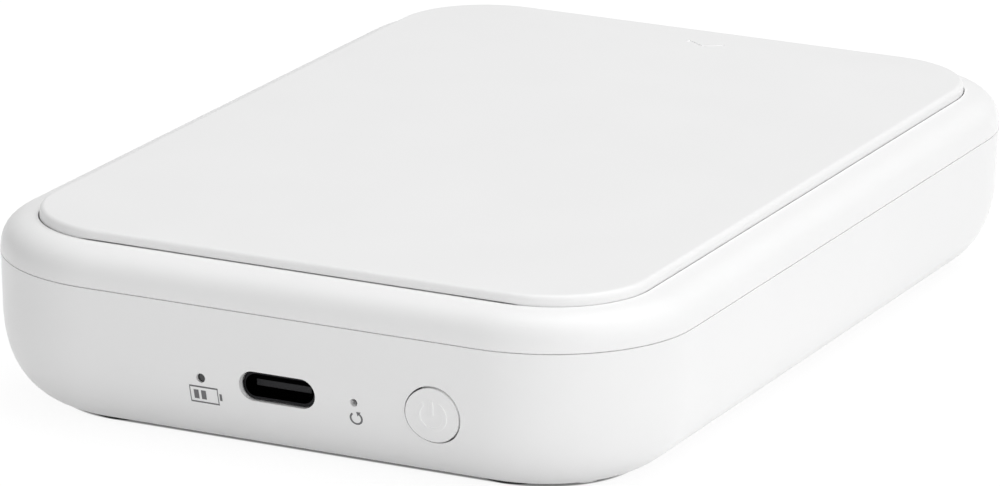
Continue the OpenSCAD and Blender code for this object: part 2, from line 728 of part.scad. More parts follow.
// Shaft from its left bush to its gear, with a groove for a clip
module roller_shaft(at) {
    color(steel) difference() {
        rod_x(at[0], at[1], shaft_d / 2, -frame_x - frame_t - 0.8, gear_x + gear_w + 0.25);
        translate([-frame_x - frame_t - 0.5, at[0], at[1]]) rotate([0, 90, 0]) difference() {
            cylinder(r = shaft_d, h = 0.25);
            translate([0, 0, -1]) cylinder(r = shaft_d / 2 - 0.2, h = 3);
        }
    }
}

module feed_shaft() {
    roller_shaft(feed_at);
}

module platen_shaft() {
    roller_shaft(platen_at);
}

module exit_shaft() {
    roller_shaft(exit_at);
}

// Tyre on a shaft, with rounded shoulders
module tyre(at, r, x0, x1) {
    color(rubber) translate([x0, at[0], at[1]]) rotate([90, 0, 90]) rotate_extrude()
        polygon([[shaft_d / 2, 0], [r - 0.3, 0], [r, 0.3], [r, x1 - x0 - 0.3], [r - 0.3, x1 - x0], [shaft_d / 2, x1 - x0]]);
}

// Two tyres on a shaft, from their inner to their outer ends
module tyre_pair(at, r, inner, outer) {
    tyre(at, r, -outer, -inner);
    tyre(at, r, inner, outer);
}

module feed_tyres() {
    tyre_pair(feed_at, feed_d / 2, 7, 17);
}

module platen_rubber() {
    tyre(platen_at, platen_d / 2, -paper_w / 2 - 0.4, paper_w / 2 + 0.4);
}

module exit_tyres() {
    tyre_pair(exit_at, exit_d / 2, 9, 19);
}

module pinch_shaft() {
    color(steel) rod_x(exit_y, pinch_z, 0.75, -frame_x - frame_t - 0.3, frame_x + frame_t + 0.3);
}

module pinch_wheels() {
    color(black) for (x = [-1, 1]) translate([x * 14 - 3, exit_y, pinch_z]) rotate([90, 0, 90]) rotate_extrude()
        polygon([[0.75, 0], [pinch_d / 2 - 0.2, 0], [pinch_d / 2, 0.2], [pinch_d / 2, 5.8], [pinch_d / 2 - 0.2, 6], [0.75, 6]]);
}

head_w = paper_w + 2.8;
substrate_t = 1;

// Ceramic strip with the heater line's glaze and the covered driver chips
module thermal_head() {
    x = head_w / 2;
    color([0.86, 0.84, 0.8]) union() {
        box([-x, platen_y - 3.4, head_z], [x, platen_y + 4.2, head_z + substrate_t]);
        rod_x(platen_y, head_z + 0.45, 0.55, -paper_w / 2, paper_w / 2);
        box([-x + 6, platen_y + 2.6, head_z - 0.5], [x - 6, platen_y + 4, head_z + 0.1]);
    }
}

// Heat sink plate with its ears and pivot stubs
module head_bracket() {
    x = frame_x - 0.35;
    z0 = head_z + substrate_t + 0.01;
    color([0.62, 0.63, 0.65]) union() {
        box([-x, head_pivot[0] - 1.4, z0], [x, platen_y + 5, z0 + 1.2]);
        both_sides() {
            box([x - 0.9, head_pivot[0] - 1.4, z0], [x, head_pivot[0] + 1.4, head_pivot[1]]);
            rod_x(head_pivot[0], head_pivot[1], 1.4, x - 0.9, x);
            rod_x(head_pivot[0], head_pivot[1], 0.8, x - 0.2, frame_x + frame_t + 0.2);
        }
        for (k = [-5:5]) box([k * 4.6 - 0.4, head_pivot[0] + 2, z0], [k * 4.6 + 0.4, platen_y - 1.4, z0 + 2.2]);
    }
}

module head_springs() {
    z0 = head_z + substrate_t + 1.25;
    color(steel) for (x = [-15, 15]) translate([x, platen_y + 3, z0]) coil(1.5, 0.18, 3, bridge_z - z0);
}

// Flat cable from the board up the left side to the head
module head_flex() {
    x0 = wall + 1.2 - hw;
    x1 = x0 + 3.7;
    z0 = board_top + 1.12;
    z = tray_z + 1;
    y1 = head_pivot[0] + 4;
    t = 0.25;
    color([0.75, 0.5, 0.2]) union() {
        box([x0, board_y1 - 6, z0], [x0 + t, board_y1 - 1.4, z + t]);
        box([x0, board_y1 - 6, z], [x1, y1, z + t]);
        box([x0, y1 - 4, z], [-frame_x - frame_t - 0.4, y1, z + t]);
        box([x0, board_y1 - 6, z0], [-board_w / 2 + 7, board_y1 - 1.4, z0 + t]);
    }
}

// ---------- Drive ----------

module motor() {
    x1 = frame_x;
    x0 = x1 - motor_l;
    color(steel) difference() {
        union() {
            intersection() {
                rod_x(motor_y, motor_z, motor_d / 2, x0, x1);
                box([x0, motor_y - motor_d, motor_z - motor_d * 0.44], [x1, motor_y + motor_d, motor_z + motor_d * 0.44]);
            }
            rod_x(motor_y, motor_z, motor_d / 2 - 1.4, x0 - 0.8, x0 + 0.1);
            rod_x(motor_y, motor_z, 1.5, x1 - 0.1, x1 + frame_t);
            for (s = [-1, 1]) box([x0 - 0.7, motor_y + s * 2.7 - 0.4, motor_z - 0.1], [x0 + 0.1, motor_y + s * 2.7 + 0.4, motor_z + 0.1]);
        }
        rod_x(motor_y, motor_z, 0.5 + running, x0 + 2, x1 + 3);
    }
}

module motor_pinion() {
    color([0.8, 0.7, 0.4]) union() {
        gear(motor_at, small_teeth, pinion_turn, 0.3, gear_x2);
        rod_x(motor_y, motor_z, 0.5, frame_x - motor_l + 2.2, gear_x2 + gear_w + 0.2);
    }
}

module reduction_gear() {
    color(gear_white) union() {
        gear(reduction_at, small_teeth, reduction_turn, stud_d / 2 + running);
        gear(reduction_at, large_teeth, reduction_turn, stud_d / 2 + running, gear_x2);
        difference() {
            rod_x(reduction_at[0], reduction_at[1], 1.6, gear_x + gear_w - 0.1, gear_x2 + 0.1);
            rod_x(reduction_at[0], reduction_at[1], stud_d / 2 + running, 0, past_all);
        }
    }
}

module feed_idler_a() {
    color(gear_white) gear(idler_a_at, idler_teeth, idler_a_turn, stud_d / 2 + running);
}

module feed_idler_b() {
    color(gear_white) gear(idler_b_at, idler_teeth, idler_b_turn, stud_d / 2 + running);
}

module exit_idler() {
    color(gear_white) gear(exit_idler_at, small_teeth, exit_idler_turn, stud_d / 2 + running);
}

module feed_gear() {
    color(gear_white) gear(feed_at, feed_teeth, feed_turn, shaft_d / 2);
}

module platen_gear() {
    color(gear_white) gear(platen_at, platen_teeth, 0, shaft_d / 2);
}

module exit_gear() {
    color(gear_white) gear(exit_at, exit_teeth, exit_turn, shaft_d / 2);
}

// Studs in the right side of the frame, each with a head that keeps its gear on
module stud(at, end) {
    rod_x(at[0], at[1], stud_d / 2, frame_x, end);
    rod_x(at[0], at[1], stud_d / 2 + 0.35, end - 0.01, end + 0.4);
    difference() {
        rod_x(at[0], at[1], stud_d / 2 + 0.5, frame_x + frame_t, gear_x - 0.1);
        rod_x(at[0], at[1], stud_d / 2 - 0.1, 0, past_all);
    }
}

module gear_studs() {
    color(steel) union() {
        stud(reduction_at, gear_x2 + gear_w + 0.1);
        for (p = [idler_a_at, idler_b_at, exit_idler_at]) stud(p, gear_x + gear_w + 0.05);
    }
}

// ---------- Electronics ----------

module main_board() {
    color(board_green) difference() {
        translate([0, (board_y0 + board_y1) / 2, 0])
            slab(board_w, board_l, board_corner_r, board_under, board_top);
        box([key_x - 4.6, board_y0 - 1, 0], [key_x + 4.6, board_y0 + 1.5, 20]);
        for (x = [-1, 1], p = board_posts_at) post(x * p[0], p[1], 0.6, 0, 20);
    }
}

module board_screws() {
    color(steel) for (x = [-1, 1], p = board_posts_at)
        translate([x * p[0], p[1], 0]) union() {
            cylinder_between(0.5, board_under - 3, board_top + 0.2);
            cylinder_between(1.1, board_top, board_top + 0.6);
        }
}

module shield_can() {
    color(steel) translate([-10.5, board_y0 + 12.6, 0]) difference() {
        slab(13, 9.6, 0.8, board_top, board_top + 1.6);
        slab(12.6, 9.2, 0.6, board_top - 1, board_top + 1.4);
        for (x = [-4, 0, 4], y = [-2.5, 2.5]) post(x, y, 0.5, board_top, board_top + 3);
    }
}

module radio_module() {
    color([0.1, 0.25, 0.35]) translate([6.5, board_y0 + 12.4, 0]) union() {
        slab(12, 9, 0.3, board_top, board_top + 0.7);
        translate([-1.5, 0, 0]) slab(8, 7.6, 0.4, board_top + 0.6, board_top + 1.9);
    }
}

chips = [[17, 13, 4, 4], [17.5, 8.8, 3, 2], [-21, 10, 5, 4], [-21, 15, 3.4, 3.4], [-2, 9, 1.6, 3]];

// Packages on the board, and the sockets of the battery, the motor and the head cable
module board_chips() {
    color(black) for (c = chips) translate([c[0], board_y0 + c[1], 0])
        slab(c[2], c[3], 0.2, board_top, board_top + 0.9);
    color([0.85, 0.82, 0.72]) box([13, board_y1 - 3.2, board_top], [17.5, board_y1 - 0.4, board_top + 2.2]);
    color([0.85, 0.82, 0.72]) box([-board_w / 2 + 5.6, board_y1 - 6.2, board_top], [-board_w / 2 + 9, board_y1 - 1.2, board_top + 1.1]);
}

port_face = -hl + sole_at(port_z) + 0.7;

module usb_shell() {
    color([0.2, 0.2, 0.21]) difference() {
        slot_y(0, port_z, port_w, port_h, port_face, port_face + 7.35);
        slot_y(0, port_z, port_w - 0.6, port_h - 0.6, port_face - 1, port_face + 6.4);
    }
}

module usb_tongue() {
    color(black) union() {
        box([-3.34, port_face + 1.1, port_z - 0.35], [3.34, port_face + 6.3, port_z + 0.35]);
        slot_y(0, port_z, port_w - 0.62, port_h - 0.62, port_face + 5.2, port_face + 6.38);
    }
}

module charge_led() {
    color([0.9, 0.9, 0.8]) box([-hole_x - 0.8, board_y0 + 0.2, board_top], [-hole_x + 0.8, board_y0 + 1.2, port_z + 0.4]);
}

module light_pipe() {
    front = -hl + sole_at(port_z) + 0.9;
    color([0.6, 0.6, 0.62, 0.8]) union() {
        rod_y(-hole_x, port_z, charge_d / 2 - 0.03, front, board_y0 - 0.6);
        rod_y(-hole_x, port_z, 1.2, board_y0 - 0.7, board_y0 + 0.15);
    }
}

switch_y = board_y0 + 1.6;

// The power mark on the key: an open ring with a bar at its gap
mark_r = 1.6;
mark_line = 0.42;
mark_relief = 0.09;

// Block whose front follows the curve of the wall, moved out by a distance
module key_face(out, back) {
    front = [for (p = sole_curve()) [p[0] - hl - out, p[1]]];
    top = sole_rise + 5;
    side_plate(key_x - key_d, key_x + key_d,
        concat(front, [[-hl - out + draft, top], [back, top], [back, foot_h]]));
}

module power_mark(y0, y1) {
    difference() {
        rod_y(key_x, key_z, mark_r + mark_line / 2, y0, y1);
        rod_y(key_x, key_z, mark_r - mark_line / 2, y0 - 1, y1 + 1);
        box([key_x - 2.2 * mark_line, y0 - 1, key_z], [key_x + 2.2 * mark_line, y1 + 1, key_z + 2 * mark_r]);
    }
    box([key_x - mark_line / 2, y0, key_z + 0.1], [key_x + mark_line / 2, y1, key_z + mark_r + 0.15]);
}

// Round key whose face follows the curve of the wall, with a raised power mark
module power_key() {
    proud = 0.18;
    back = pad_y + 0.3;
    color(white) union() {
        intersection() {
            rod_y(key_x, key_z, key_d / 2, -hl - 1, back);
            key_face(proud, back);
        }
        intersection() {
            power_mark(-hl - 1, back);
            key_face(proud + mark_relief, back);
        }
        rod_y(key_x, key_z, key_d / 2 + 0.6, pad_y + 0.15, pad_y + 0.85);
        rod_y(key_x, key_z, 0.9, pad_y + 0.8, switch_y - 0.75);
    }
}

module power_switch() {
    color(black) difference() {
        box([key_x - 3, switch_y, board_top + 0.01], [key_x + 3, switch_y + 3, key_z + 1.6]);
        rod_y(key_x, key_z, 0.85, switch_y - 1, switch_y + 0.9 + key_travel);
    }
}

module power_plunger() {
    color([0.7, 0.2, 0.15]) rod_y(key_x, key_z, 0.75, switch_y - 0.7, switch_y + 0.8);
}

module reset_switch() {
    color(black) difference() {
        box([hole_x - 1.8, board_y0 + 0.4, board_top + 0.01], [hole_x + 1.8, board_y0 + 2.6, port_z + 1.1]);
        rod_y(hole_x, port_z, 0.65, board_y0 - 1, board_y0 + 1.35 + reset_travel);
    }
}

module reset_plunger() {
    color([0.7, 0.2, 0.15]) rod_y(hole_x, port_z, 0.55, board_y0 - 0.2, board_y0 + 1.3);
}

battery_y = frame_y0 - 2.4 - battery_l / 2;

// Pouch cell with its folded edge and protection strip
module battery() {
    color([0.72, 0.74, 0.77]) translate([0, battery_y, 0]) union() {
        slab(battery_w - 1.2, battery_l - 5, 2, floor_z + 0.1, floor_z + battery_t);
        slab(battery_w, battery_l - 6, 2.4, floor_z + 0.8, floor_z + battery_t - 0.7);
        translate([0, -battery_l / 2 + 1.4, 0]) slab(battery_w - 8, 3, 0.4, floor_z + 1, floor_z + 3.6);
    }
}

// Round wire through a list of points
module wire(points, r) {
    for (i = [0:len(points) - 2]) let (a = points[i], b = points[i + 1], d = b - a, l = norm(d))
        translate(a) rotate([0, acos(d[2] / l), atan2(d[1], d[0])]) cylinder(r = r, h = l);
    for (p = points) translate(p) sphere(r);
}

module battery_lead() {
    y0 = battery_y - battery_l / 2 - 0.1;
    color([0.6, 0.1, 0.1]) for (x = [14.4, 16])
        wire([[x, y0 - 0.36, floor_z + 2.5], [x, y0 - 1, floor_z + 2.5], [x, y0 - 1, board_top + 1.2],
            [x, board_y1 - 0.02, board_top + 1.2]], 0.35);
}

module motor_lead() {
    x = frame_x - motor_l - 1.6;
    color([0.1, 0.1, 0.1]) for (s = [-1, 1]) wire([[x + 0.58, motor_y + s * 2.7, motor_z],
        [x + s * 0.5, motor_y + s * 2.7, motor_z], [x + s * 0.5, frame_y0 + 2.2, floor_z + 1]], 0.3);
}

bottom_case();
top_case();
rubber_feet();
case_screws();
top_cover();
cover_liner();
hinge_arms();
hinge_pins();
cover_screws();
cover_magnets();
case_magnets();
press_plate();
press_springs();
paper_tray();
retard_pad();
paper_sensor();
print_frame();
shaft_bushes();
feed_shaft();
feed_tyres();
feed_gear();
platen_shaft();
platen_rubber();
platen_gear();
exit_shaft();
exit_tyres();
exit_gear();
pinch_shaft();
pinch_wheels();
thermal_head();
head_bracket();
head_springs();
head_flex();
motor();
motor_pinion();
reduction_gear();
feed_idler_a();
feed_idler_b();
exit_idler();
gear_studs();
main_board();
board_screws();
shield_can();
radio_module();
board_chips();
usb_shell();
usb_tongue();
charge_led();
light_pipe();
power_key();
power_switch();
power_plunger();
reset_switch();
reset_plunger();
battery();
battery_lead();
motor_lead();
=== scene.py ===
"""Looks of the compact photo printer: finishes for every part, its printed marks, studio and camera.

Metres, in the frame of the CAD model: X across the short side, Y from the port end to the paper
exit, Z up, origin at the bottom centre.
"""
import json
import math

import bmesh
import bpy
from mathutils import Matrix, Vector
from mathutils.bvhtree import BVHTree


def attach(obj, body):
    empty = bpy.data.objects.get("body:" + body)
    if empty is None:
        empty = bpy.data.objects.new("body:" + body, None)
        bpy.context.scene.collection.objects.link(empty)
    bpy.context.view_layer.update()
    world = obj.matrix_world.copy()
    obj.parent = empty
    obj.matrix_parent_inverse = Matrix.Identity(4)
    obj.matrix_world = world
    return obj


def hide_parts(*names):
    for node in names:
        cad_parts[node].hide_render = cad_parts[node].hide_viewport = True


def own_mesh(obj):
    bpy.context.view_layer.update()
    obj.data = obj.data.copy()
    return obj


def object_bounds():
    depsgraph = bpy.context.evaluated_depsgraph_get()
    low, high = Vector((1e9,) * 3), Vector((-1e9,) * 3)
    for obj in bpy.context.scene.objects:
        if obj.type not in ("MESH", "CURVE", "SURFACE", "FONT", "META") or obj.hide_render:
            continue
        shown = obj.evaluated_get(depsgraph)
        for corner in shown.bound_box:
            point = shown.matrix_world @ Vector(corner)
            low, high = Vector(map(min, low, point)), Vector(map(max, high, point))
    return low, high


MM = 0.001

# The photograph's frame, and the camera that was fitted to it
IMAGE_W = 1000
SENSOR = 36.0
FOCAL_PIXELS = 6852.6
CAMERA_AT = Vector((326.055, -689.534, 235.339)) * MM
CAMERA_YAW = math.radians(25.45)
CAMERA_PITCH = math.radians(-16.478)
CAMERA_ROLL = math.radians(0.781)
CAMERA_NEAR, CAMERA_FAR = 0.01, 20.0

# Painted light in narrow gaps of the pale plastic: the lighter colour painted there, how far a place
# looks for walls, and between which openness (0 closed, 1 open) the colour changes
GAP_PAINTED_LIGHT = 1.0
GAP_REACH = 0.7 * MM
GAP_CLOSED, GAP_OPEN = 0.3, 0.9

# Swept curves are shaded as one surface where faces turn by less than an angle; this is its cosine
SMOOTH_NODES = ("bottom_case", "top_case", "top_cover", "power_key")
SMOOTH_UP_TO = math.cos(math.radians(28))
# Corners at one place to this many decimals of a metre belong together
PLACE_DECIMALS = 6

# Coil springs: the body and joint of each, the height of the fixed seat, and the share of the length
# that is left at the joint's limit
SPRINGS = {
    "press_springs": ("cover", "press_pivot", 19.9 * MM, 0.22),
    "head_springs": ("case", "head_pivot", 16.5 * MM, 0.81),
}

# How much further forward the light pipe's tip stands than in the CAD model, and how near to the
# foremost point a vertex of that tip lies
PIPE_REACH = 0.5 * MM
TIP_DEPTH = 0.001 * MM

# Marks on the front, in millimetres: where their centre lies across and up the front
CHARGE_MARK = (-9.0, 6.8)
RESET_MARK = (9.5, 6.95)
# How far the print stands off the skin, the width of its lines, its longest edge, and how far before
# the front its rays start
MARK_LIFT = 0.015 * MM
MARK_STROKE = 0.22 * MM
MARK_STEP = 0.35 * MM
MARK_RAYS = 5 * MM
# The reset sign: radius of its ring, where the ring starts and ends in degrees, and the half width
# and length of its arrow head
RING_RADIUS = 0.68 * MM
RING_START, RING_END = 52, -235
ARROW_HALF, ARROW_LENGTH = 0.34 * MM, 0.44 * MM
ARC_STEPS = 28

# The floor: half its width, its own glow to the camera, and its colour to the camera and to light
FLOOR_REACH = 6.0
FLOOR_GLOW = 0.91
FLOOR_SEEN = 0.13
FLOOR_BOUNCE = 0.8
# The painted shadow, a dark line under the sole: its level, the outline's corner radius, and how far
# inside the outline the line fades from dark to open floor
PAINTED_SHADOW_LEVEL = 0.15
OUTLINE_CORNER = 17.6 * MM
PAINTED_SHADOW_DARK = -7.2 * MM
PAINTED_SHADOW_OPEN = -6.8 * MM

# Level of the surroundings, what the lamps point at, and each lamp's place, size and watts
SKY_LEVEL = 0.42
LAMP_TARGET = (0, 0, 0.01)
LAMPS = {
    "key_light": ((0.95, -0.15, 0.55), 0.8, 2.97),
    "top_light": ((0.15, 0.3, 1.1), 0.9, 7.67),
    "front_light": ((0.1, -1.2, 0.5), 0.8, 1.27),
    "near_light": ((0.28, -0.3, 0.08), 0.16, 0.177),
}

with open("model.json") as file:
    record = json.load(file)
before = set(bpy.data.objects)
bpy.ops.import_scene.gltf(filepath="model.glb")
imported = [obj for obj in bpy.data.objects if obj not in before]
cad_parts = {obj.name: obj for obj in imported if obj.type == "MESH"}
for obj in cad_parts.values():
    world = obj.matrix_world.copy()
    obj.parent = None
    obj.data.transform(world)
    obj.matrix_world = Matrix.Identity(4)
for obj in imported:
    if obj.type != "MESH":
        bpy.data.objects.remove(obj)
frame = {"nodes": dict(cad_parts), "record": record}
CAD_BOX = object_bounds()


def new_object(name, data):
    """An object of that data in the scene."""
    thing = bpy.data.objects.new(name, data)
    bpy.context.scene.collection.objects.link(thing)
    return thing


# ---------------------------------------------------------------- materials

# A colour mix's sockets by number, because its sockets for other kinds of data have the same names
MIX_FACTOR, MIX_FIRST, MIX_SECOND, MIX_RESULT = 0, 6, 7, 2


class Nodes:
    """A material's node tree, with short calls for the nodes that these finishes use."""

    def __init__(self, name):
        self.material = bpy.data.materials.new(name)
        self.material.use_nodes = True
        self.tree = self.material.node_tree
        self.tree.nodes.clear()
        self.out = self.add("ShaderNodeOutputMaterial")
        self.coords = self.add("ShaderNodeTexCoord").outputs["Object"]

    def add(self, kind, **inputs):
        """A node with values or sockets for its inputs, whose spaces are written as underscores."""
        node = self.tree.nodes.new(kind)
        for socket, value in inputs.items():
            self.feed(node.inputs[socket.replace("_", " ")], value)
        return node

    def feed(self, socket, value):
        """Links a socket to an input, or sets the input to a number or colour."""
        if isinstance(value, bpy.types.NodeSocket):
            self.tree.links.new(value, socket)
        else:
            socket.default_value = value

    def noise(self, size, detail=2.0, stretch=(1, 1, 1), roughness=0.5):
        """Noise with features about size metres across, drawn out along an axis by stretch."""
        mapping = self.add("ShaderNodeMapping", Vector=self.coords, Scale=stretch)
        noise = self.add("ShaderNodeTexNoise", Vector=mapping.outputs[0], Scale=1 / size,
                         Detail=detail, Roughness=roughness)
        return noise.outputs["Fac"]

    def cells(self, size):
        """Rounded grains about size metres across."""
        cells = self.add("ShaderNodeTexVoronoi", Vector=self.coords, Scale=1 / size)
        return cells.outputs["Distance"]

    def ranged(self, fac, low, high, start=0.3, end=0.7):
        """Turns a factor between start and end into a value between low and high."""
        node = self.add("ShaderNodeMapRange", Value=fac)
        limits = {"From Min": start, "From Max": end, "To Min": low, "To Max": high}
        for socket, value in limits.items():
            node.inputs[socket].default_value = value
        return node.outputs["Result"]

    def blend(self, fac, first, second):
        """Blends two colours, each a value or a socket, by a factor."""
        node = self.add("ShaderNodeMix")
        node.data_type = "RGBA"
        self.feed(node.inputs[MIX_FACTOR], fac)
        self.feed(node.inputs[MIX_FIRST], first)
        self.feed(node.inputs[MIX_SECOND], second)
        return node.outputs[MIX_RESULT]

    def bump(self, height, depth, normal=None):
        """A bump of depth metres from a height between 0 and 1, over another normal."""
        node = self.add("ShaderNodeBump", Height=height, Distance=depth, Strength=1.0)
        if normal is not None:
            self.feed(node.inputs["Normal"], normal)
        return node.outputs[0]

    def math(self, operation, first, second):
        """The result of a sum on two values, each a number or a socket."""
        node = self.add("ShaderNodeMath")
        node.operation = operation
        self.feed(node.inputs[0], first)
        self.feed(node.inputs[1], second)
        return node.outputs[0]

    def surface(self, **inputs):
        """The material, with a principled shader of those inputs on its surface."""
        shader = self.add("ShaderNodeBsdfPrincipled", **inputs)
        self.tree.links.new(shader.outputs[0], self.out.inputs["Surface"])
        return self.material


def rgba(grey_or_colour, gain=1.0):
    """A colour socket's value from a grey level or three parts."""
    is_grey = isinstance(grey_or_colour, (int, float))
    parts = (grey_or_colour,) * 3 if is_grey else grey_or_colour
    return tuple(min(1.0, p * gain) for p in parts) + (1.0,)


def moulded(name, colour, roughness=0.5, grain=0.22 * MM, depth=0.006 * MM, tone=0.02,
            specular=0.5, paint_light_in_gaps=False):
    """Moulded plastic: spark-eroded grain over a slow unevenness, with a little variation of tone and
    gloss. Painted light in gaps is for pale plastic: its colour is painted lighter in narrow gaps,
    standing in for light that reaches into them."""
    n = Nodes(name)
    slow = n.noise(14 * MM, detail=1.0)
    fine = n.noise(grain, detail=3.0, roughness=0.6)
    skin = n.bump(n.noise(9 * MM, detail=0.5), 0.02 * MM)
    shade = n.blend(n.ranged(slow, 0, 1), rgba(colour, 1 - tone), rgba(colour, 1 + tone))
    # Painted light: the colour turns towards white where walls are near, in narrow gaps
    if paint_light_in_gaps:
        near = n.add("ShaderNodeAmbientOcclusion", Distance=GAP_REACH)
        openness = n.ranged(near.outputs["AO"], 0, 1, GAP_CLOSED, GAP_OPEN)
        shade = n.blend(openness, rgba(GAP_PAINTED_LIGHT), shade)
    return n.surface(
        Base_Color=shade,
        Roughness=n.ranged(fine, roughness - 0.04, roughness + 0.04),
        Specular_IOR_Level=specular,
        Normal=n.bump(n.blend(0.35, fine, n.cells(grain * 1.6)), depth, normal=skin))


def rubber(name, colour):
    """Soft rubber with a dusty, slightly pitted skin."""
    n = Nodes(name)
    dust = n.noise(1.2 * MM, detail=4.0)
    return n.surface(
        Base_Color=n.blend(n.ranged(dust, 0, 1), rgba(colour), rgba(colour, 1.5)),
        Roughness=n.ranged(dust, 0.6, 0.85),
        Specular_IOR_Level=0.3,
        Normal=n.bump(n.noise(0.15 * MM, detail=3.0), 0.01 * MM))


def metal(name, colour, roughness=0.3, lay=(1, 40, 40)):
    """Metal with faint smudges and fine drawing lines along the axis where lay is 1."""
    n = Nodes(name)
    lines = n.noise(3 * MM, detail=3.0, stretch=lay)
    smudge = n.noise(4 * MM, detail=2.0)
    return n.surface(
        Base_Color=n.blend(n.ranged(smudge, 0, 1), rgba(colour, 0.94), rgba(colour, 1.04)),
        Metallic=1.0,
        Roughness=n.ranged(lines, roughness - 0.07, roughness + 0.1),
        Normal=n.bump(lines, 0.003 * MM))


def circuit_board(name, colour):
    """Solder mask over copper tracks: a faint pattern of straight runs in relief."""
    n = Nodes(name)
    runs = n.add("ShaderNodeTexBrick", Vector=n.coords, Scale=1 / (9 * MM), Color1=rgba(colour),
                 Color2=rgba(colour, 1.15), Mortar=rgba(colour, 1.7), Mortar_Size=0.025,
                 Brick_Width=0.7, Row_Height=0.16)
    return n.surface(
        Base_Color=runs.outputs["Color"],
        Roughness=n.ranged(n.noise(2 * MM), 0.28, 0.42),
        Coat_Weight=0.3,
        Normal=n.bump(runs.outputs["Fac"], 0.03 * MM))


def film(name, colour):
    """Glossy flexible film with fine conductors along its length."""
    n = Nodes(name)
    waves = n.add("ShaderNodeTexWave", Vector=n.coords, Scale=1 / (6 * MM), Distortion=0.0)
    waves.bands_direction = "X"
    fac = n.ranged(waves.outputs["Fac"], 0, 1, 0.35, 0.65)
    return n.surface(
        Base_Color=n.blend(fac, rgba(colour, 0.8), rgba(colour, 1.1)),
        Roughness=n.ranged(n.noise(1.5 * MM), 0.18, 0.3),
        Normal=n.bump(fac, 0.01 * MM))


def pouch(name, colour):
    """Laminated battery foil with shallow wrinkles."""
    n = Nodes(name)
    wrinkles = n.noise(5 * MM, detail=3.0, stretch=(1, 0.35, 1))
    return n.surface(
        Base_Color=n.blend(n.ranged(wrinkles, 0, 1), rgba(colour, 0.93), rgba(colour, 1.05)),
        Metallic=0.85,
        Roughness=n.ranged(wrinkles, 0.32, 0.46),
        Normal=n.bump(wrinkles, 0.25 * MM))


def clear_plastic(name, colour):
    """Smoked clear plastic of a light pipe."""
    n = Nodes(name)
    flow = n.noise(0.8 * MM, detail=2.0)
    return n.surface(
        Base_Color=n.blend(n.ranged(flow, 0, 1), rgba(colour, 0.9), rgba(colour, 1.1)),
        Roughness=n.ranged(flow, 0.12, 0.22),
        Transmission_Weight=0.35,
        Normal=n.bump(flow, 0.01 * MM))


def ink(name, colour):
    """Pad-printed ink: matt, with a slightly uneven tone."""
    n = Nodes(name)
    spread = n.noise(0.12 * MM, detail=3.0)
    return n.surface(
        Base_Color=n.blend(n.ranged(spread, 0, 1), rgba(colour, 0.92), rgba(colour, 1.1)),
        Roughness=n.ranged(spread, 0.5, 0.62),
        Normal=n.bump(spread, 0.004 * MM))


# Each material slot of the record: the kind of finish, its colour, and what departs from that kind
FINISHES = {
    "white_plastic": (moulded, 0.86, dict(roughness=0.48, tone=0.006, paint_light_in_gaps=True)),
    "light_grey_plastic": (moulded, (0.7, 0.71, 0.72), {}),
    "dark_plastic": (moulded, (0.012, 0.012, 0.014), dict(tone=0.15, specular=0.22)),
    "gear_plastic": (moulded, (0.8, 0.77, 0.68), dict(roughness=0.38, depth=0.002 * MM)),
    "red_plastic": (moulded, (0.5, 0.05, 0.03), dict(roughness=0.4, tone=0.1)),
    "ceramic": (moulded, (0.78, 0.75, 0.7), dict(roughness=0.3, depth=0.002 * MM)),
    "wire": (moulded, (0.16, 0.012, 0.012), dict(roughness=0.35, grain=0.5 * MM, tone=0.1)),
    "black_rubber": (rubber, 0.02, {}),
    "steel": (metal, (0.62, 0.62, 0.63), {}),
    "dark_shell": (metal, (0.012, 0.012, 0.013), {}),
    "aluminium": (metal, (0.72, 0.73, 0.75), dict(roughness=0.38, lay=(30, 1, 30))),
    "brass": (metal, (0.72, 0.55, 0.25), dict(roughness=0.28)),
    "board": (circuit_board, (0.015, 0.1, 0.05), {}),
    "module_board": (circuit_board, (0.015, 0.06, 0.12), {}),
    "flex_film": (film, (0.55, 0.25, 0.04), {}),
    "clear_grey": (clear_plastic, (0.008, 0.008, 0.01), {}),
    "foil": (pouch, (0.62, 0.64, 0.67), {}),
}


def smooth_shading(mesh):
    """Shades the small steps of the swept curves as one surface: each corner's normal is the mean of
    the faces that meet at its place and turn away from its own face by less than the limit."""
    places = [tuple(round(c, PLACE_DECIMALS) for c in vertex.co) for vertex in mesh.vertices]
    faces_at = {}
    for face in mesh.polygons:
        for index in face.vertices:
            faces_at.setdefault(places[index], []).append(face)
    normals = []
    for face in mesh.polygons:
        for index in face.vertices:
            mean = Vector()
            for other in faces_at[places[index]]:
                if other.normal.dot(face.normal) > SMOOTH_UP_TO:
                    mean += other.normal * math.sqrt(other.area)
            normals.append(mean.normalized() if mean.length > 0 else face.normal)
    mesh.shade_smooth()
    mesh.normals_split_custom_set(normals)


def dress_nodes():
    """Gives every CAD node the finish of its material slot."""
    made = {slot: kind(slot, colour, **departures)
            for slot, (kind, colour, departures) in FINISHES.items()}
    slots = {part["node"]: part["material_slot"] for part in frame["record"]["subparts"]}
    for name, node in frame["nodes"].items():
        node.data.materials.clear()
        node.data.materials.append(made[slots[name]])
    for name in SMOOTH_NODES:
        smooth_shading(frame["nodes"][name].data)


# ---------------------------------------------------------------- pieces that replace a node

def stand_in(name, node, body):
    """A copy of a node's shape and finish that replaces it and rides on its body."""
    piece = new_object(name, frame["nodes"][node].data.copy())
    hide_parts(node)
    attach(piece, body)
    return piece


def springs():
    """The springs over the press plate and the head, as copies of their nodes with meshes of their own
    that ride on their bodies."""
    for node, (body, joint, seat_z, keep) in SPRINGS.items():
        coil = stand_in(node + "_coil", node, body)
        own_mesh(coil)


